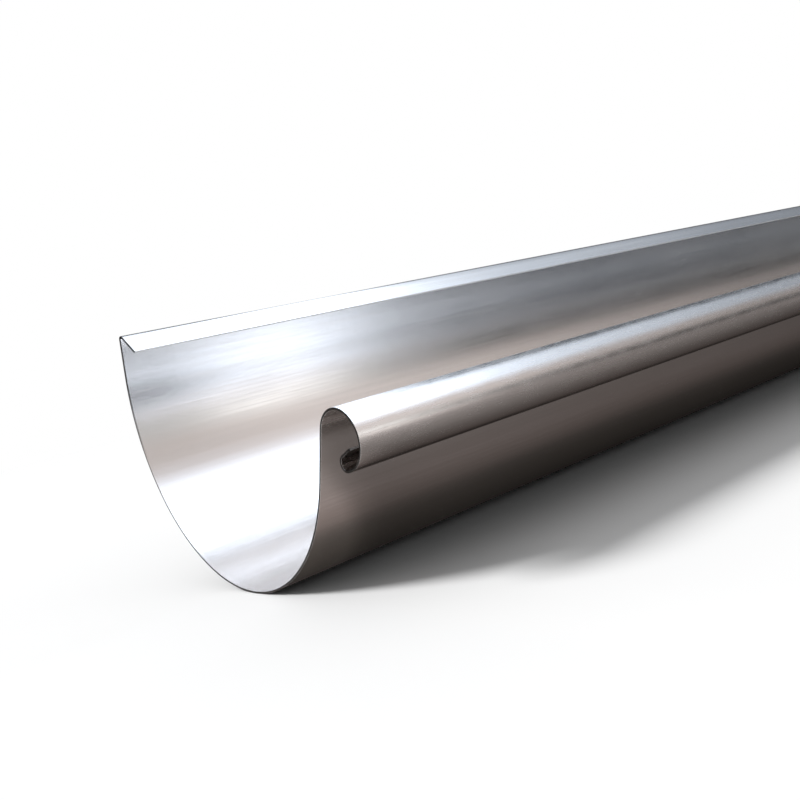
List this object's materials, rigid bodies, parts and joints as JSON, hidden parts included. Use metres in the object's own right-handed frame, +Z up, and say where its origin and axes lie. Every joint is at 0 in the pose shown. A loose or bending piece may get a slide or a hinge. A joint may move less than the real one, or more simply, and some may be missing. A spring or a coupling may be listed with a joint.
{
  "type": "half-round gutter section",
  "caption": "Half-round rain gutter section: bare sheet-metal trough with a rolled front bead, a folded back edge and square-cut ends.",
  "frame": {"origin": "on the floor under the middle of the section's bounding box, with the loose gutter rolled to the lean at which it lies still", "axes": "+X along the gutter, -Y to the front with the rolled bead, +Y to the back wall with the fold, +Z up. The mouth, level in use, is rolled 22.5 degrees about +X, bead down"},
  "size_m": [2, 0.1456, 0.0975],
  "materials": {
    "bare_metal": "bare rolled sheet, half gloss, with fine lengthwise grain"
  },
  "bodies": {
    "root": {"gutter_profile": "bare_metal"}
  },
  "joints": []
}
